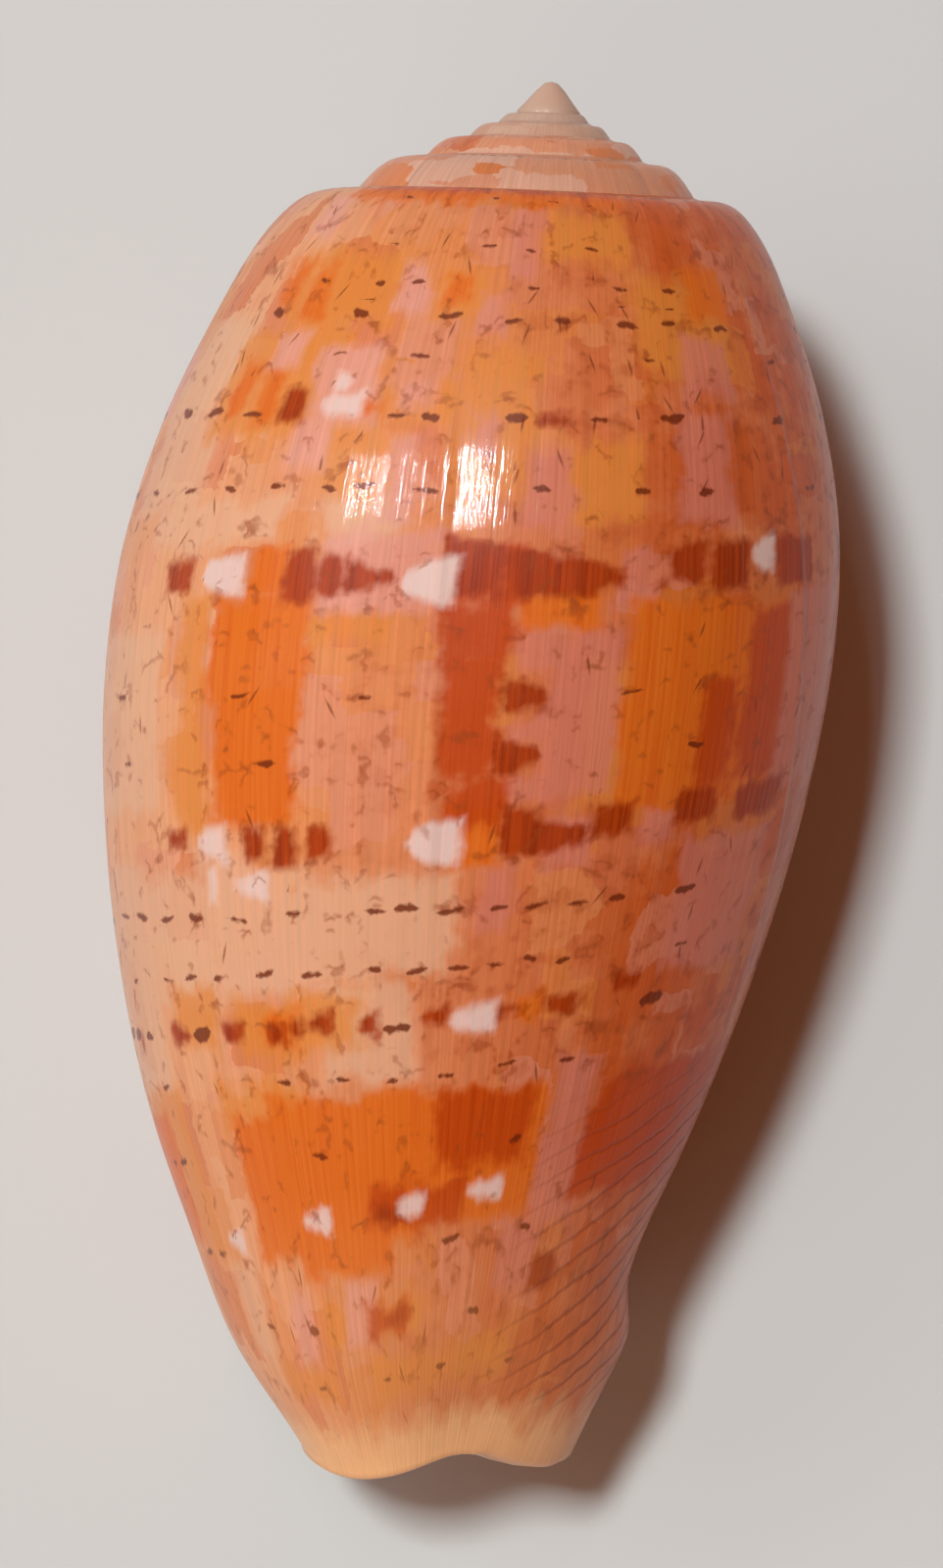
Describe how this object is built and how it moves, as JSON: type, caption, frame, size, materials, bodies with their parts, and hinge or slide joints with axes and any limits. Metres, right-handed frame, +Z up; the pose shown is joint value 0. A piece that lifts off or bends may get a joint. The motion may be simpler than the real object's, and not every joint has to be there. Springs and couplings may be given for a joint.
{
  "type": "cone shell",
  "caption": "Inflated cone seashell, glossy and patterned, lying on its long aperture with a low pointed spire.",
  "frame": {"origin": "on the resting plane, under the middle of the shell's box", "axes": "+Z up through the back of the shell, +Y towards the apex, +X away from the outer lip"},
  "size_m": [0.0312, 0.0598, 0.0281],
  "materials": {
    "shell": "glossy porcelain-like shell, peach to salmon with orange blotches, dark dashes in spiral rows and white flecks"
  },
  "bodies": {
    "root": {"shell": "shell"}
  },
  "joints": []
}
